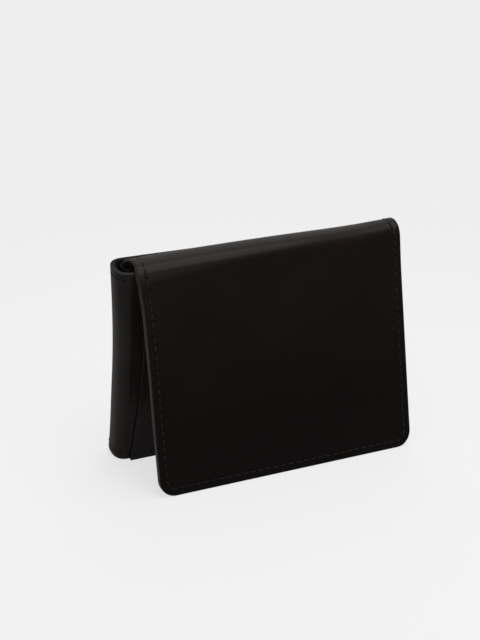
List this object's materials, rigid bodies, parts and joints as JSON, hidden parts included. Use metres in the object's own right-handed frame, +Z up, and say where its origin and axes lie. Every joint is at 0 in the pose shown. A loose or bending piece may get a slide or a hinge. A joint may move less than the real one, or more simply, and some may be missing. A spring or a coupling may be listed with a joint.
{
  "type": "wallet",
  "caption": "Folding black leather wallet standing as a tent: bifold body with a rounded spine, an outer slip pocket and a full-width stitched flap over the top.",
  "frame": {"origin": "on the floor, under the middle of the standing wallet's box", "axes": "+X along the width from the spine to the open side, +Y from the flap's front to the back cover, +Z up"},
  "size_m": [0.1274, 0.0538, 0.0995],
  "materials": {
    "cover_leather": "smooth semi-gloss full grain leather",
    "inner_leather": "smooth matt leather",
    "lining_fabric": "fine woven lining",
    "clear_film": "clear film",
    "stiffener_board": "raw leatherboard"
  },
  "bodies": {
    "back_half": {"back_cover": "cover_leather", "back_lining": "lining_fabric", "back_leaf": "inner_leather", "back_card_pocket_rear": "inner_leather", "back_card_pocket_middle": "inner_leather", "back_card_pocket_front": "inner_leather"},
    "spine": {"spine_leather": "cover_leather", "spine_lining": "lining_fabric", "spine_leaf": "inner_leather"},
    "front_half": {"slip_pocket_panel": "cover_leather", "front_cover": "cover_leather", "front_lining": "lining_fabric", "note_divider": "lining_fabric", "front_leaf": "inner_leather", "front_card_pocket_rear": "inner_leather", "front_card_pocket_front": "inner_leather", "window_film": "clear_film", "window_frame": "inner_leather", "fold_leather": "cover_leather", "fold_lining": "inner_leather"},
    "flap": {"flap_leather": "cover_leather", "flap_board": "stiffener_board", "flap_lining": "inner_leather"}
  },
  "joints": [
    {"name": "spine_back_crease", "type": "hinge", "parent": "back_half", "child": "spine", "pos_m": [-0.05645, 0.0269, 0.00292], "axis": [0, 0.1736, -0.9848], "range_deg": [0, 90]},
    {"name": "spine_front_crease", "type": "hinge", "parent": "spine", "child": "front_half", "pos_m": [-0.05645, 0.01183, 0.00026], "axis": [0, 0.1736, -0.9848], "range_deg": [0, 90]},
    {"name": "flap_fold", "type": "hinge", "parent": "front_half", "child": "flap", "pos_m": [0.0037, -0.00209, 0.09275], "axis": [-1, 0, 0], "range_deg": [-20.5, 159], "deforming": ["fold_leather", "fold_lining"]}
  ],
  "couplings": [
    {"joint": "spine_front_crease", "follows": "spine_back_crease", "ratio": 1}
  ]
}
